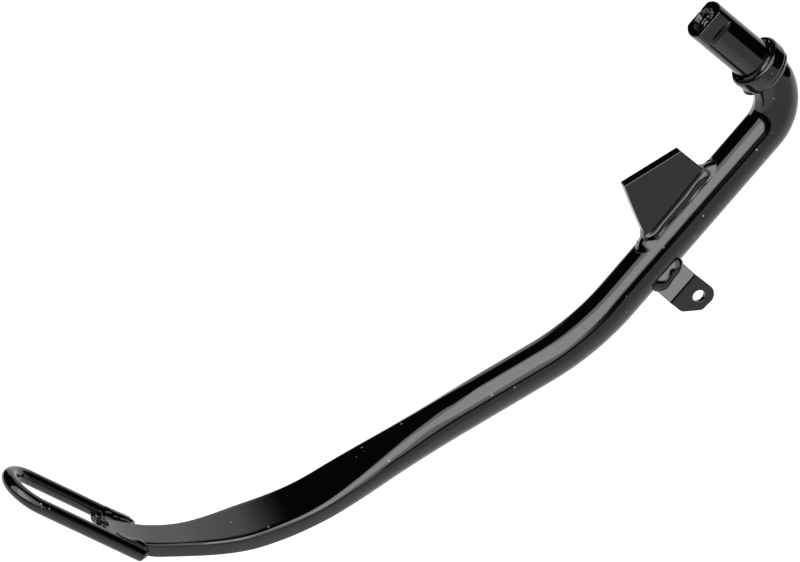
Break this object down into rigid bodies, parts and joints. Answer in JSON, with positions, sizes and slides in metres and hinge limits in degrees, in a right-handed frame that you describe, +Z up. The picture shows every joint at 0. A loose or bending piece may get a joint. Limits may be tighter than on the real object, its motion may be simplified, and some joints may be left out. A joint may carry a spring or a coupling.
{
  "type": "motorcycle kickstand leg",
  "caption": "Bent round-bar kickstand leg with a flatted pivot shaft, thrust collar, stop plate, spring tab and a toe loop on its pressed foot.",
  "frame": {"origin": "on the pivot shaft's axis, at the collar's thrust face", "axes": "+Z up with the upper leg sloping 47.5 degrees down toward -X; the pivot shaft rises toward -X and +Z; -Y is the side that carries the spring tab"},
  "size_m": [0.3473, 0.0316, 0.2176],
  "materials": {
    "powder_coat": "gloss black powder coat",
    "shaft_coat": "gloss black powder coat over turned steel",
    "weld_coat": "gloss black powder coat over rippled weld metal"
  },
  "bodies": {
    "root": {"leg_bar": "powder_coat", "pivot_shaft": "shaft_coat", "thrust_collar": "shaft_coat", "collar_weld": "weld_coat", "collar_tack": "weld_coat", "stop_plate": "powder_coat", "stop_plate_front_weld": "weld_coat", "stop_plate_rear_weld": "weld_coat", "stop_plate_upper_weld": "weld_coat", "stop_plate_lower_weld": "weld_coat", "spring_tab": "powder_coat", "spring_tab_front_weld": "weld_coat", "spring_tab_rear_weld": "weld_coat", "toe_loop": "powder_coat", "toe_loop_near_weld": "weld_coat", "toe_loop_far_weld": "weld_coat", "toe_loop_tip_weld": "weld_coat"}
  },
  "joints": []
}
